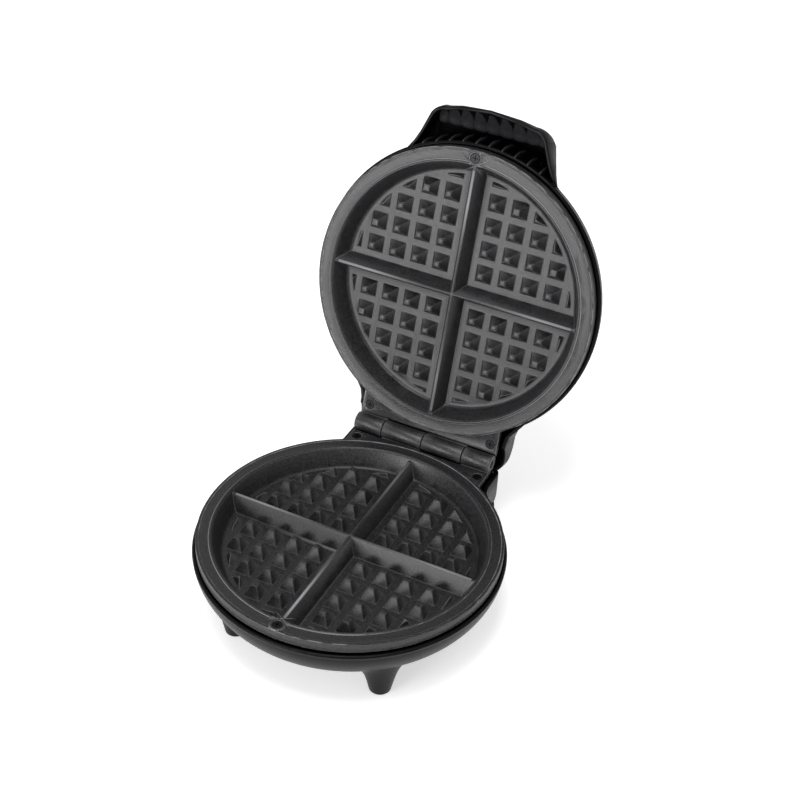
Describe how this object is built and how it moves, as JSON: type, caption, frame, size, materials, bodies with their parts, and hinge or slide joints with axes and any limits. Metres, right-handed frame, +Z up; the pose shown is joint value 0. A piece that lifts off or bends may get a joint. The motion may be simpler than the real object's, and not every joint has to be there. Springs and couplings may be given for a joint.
{
  "type": "waffle maker",
  "caption": "Round hinged waffle maker with two mirrored cast plates in black moulded shells, shown open with its lid resting back on the hinge stop.",
  "frame": {"origin": "on the table under the middle of the footprint of the open appliance, on its left-right centre line", "axes": "+X along the hinge pin, -Y towards the handle when closed, +Z up"},
  "size_m": [0.209, 0.3104, 0.2922],
  "materials": {
    "shell_plastic": "fine satin moulded black",
    "liner_plastic": "satin moulded black",
    "black_rubber": "matt black rubber",
    "coated_aluminium": "granular dark non-stick coating on cast aluminium",
    "blackened_screws": "dark oxidised steel",
    "heater_sheath": "heat-tinted sheath",
    "reflector_sheet": "aluminised sheet",
    "pale_thermoset": "pale moulded thermoset",
    "brass": "plain brass",
    "fuse_sleeve": "woven glass sleeve",
    "lead_insulation": "silicone insulation",
    "red_lens": "clear red moulded lens",
    "green_lens": "clear green moulded lens",
    "lamp_glass": "small glass lamp",
    "steel_pin": "drawn steel",
    "zinc_plated_steel": "bright zinc plate"
  },
  "bodies": {
    "base": {"base_shell": "shell_plastic", "foot_pads": "black_rubber", "lower_cooking_plate": "coated_aluminium", "lower_plate_screws": "blackened_screws", "lower_heating_element": "heater_sheath", "lower_element_clamps": "zinc_plated_steel", "lower_clamp_screws": "zinc_plated_steel", "lower_reflector": "reflector_sheet", "lower_reflector_screws": "zinc_plated_steel", "thermostat": "pale_thermoset", "thermostat_strap": "zinc_plated_steel", "thermostat_screws": "zinc_plated_steel", "lower_thermal_fuse": "fuse_sleeve", "terminal_block": "pale_thermoset", "terminal_screws": "brass", "cord_gland": "black_rubber", "cord_clamp": "shell_plastic", "cord_clamp_screws": "zinc_plated_steel", "earth_screw": "brass", "lower_wires": "lead_insulation", "hinge_pin": "steel_pin"},
    "lid": {"lid_shell": "shell_plastic", "handle_grip_liner": "liner_plastic", "upper_cooking_plate": "coated_aluminium", "upper_plate_screws": "blackened_screws", "upper_heating_element": "heater_sheath", "upper_element_clamps": "zinc_plated_steel", "upper_clamp_screws": "zinc_plated_steel", "upper_reflector": "reflector_sheet", "upper_reflector_screws": "zinc_plated_steel", "upper_thermal_fuse": "fuse_sleeve", "power_lamp_lens": "red_lens", "ready_lamp_lens": "green_lens", "neon_lamps": "lamp_glass", "lamp_bracket": "pale_thermoset", "lamp_bracket_screws": "zinc_plated_steel", "upper_wires": "lead_insulation"}
  },
  "joints": [
    {"name": "lid_hinge", "type": "hinge", "parent": "base", "child": "lid", "pos_m": [0, 0.0613, 0.065], "axis": [1, 0, 0], "range_deg": [0, 105]}
  ]
}
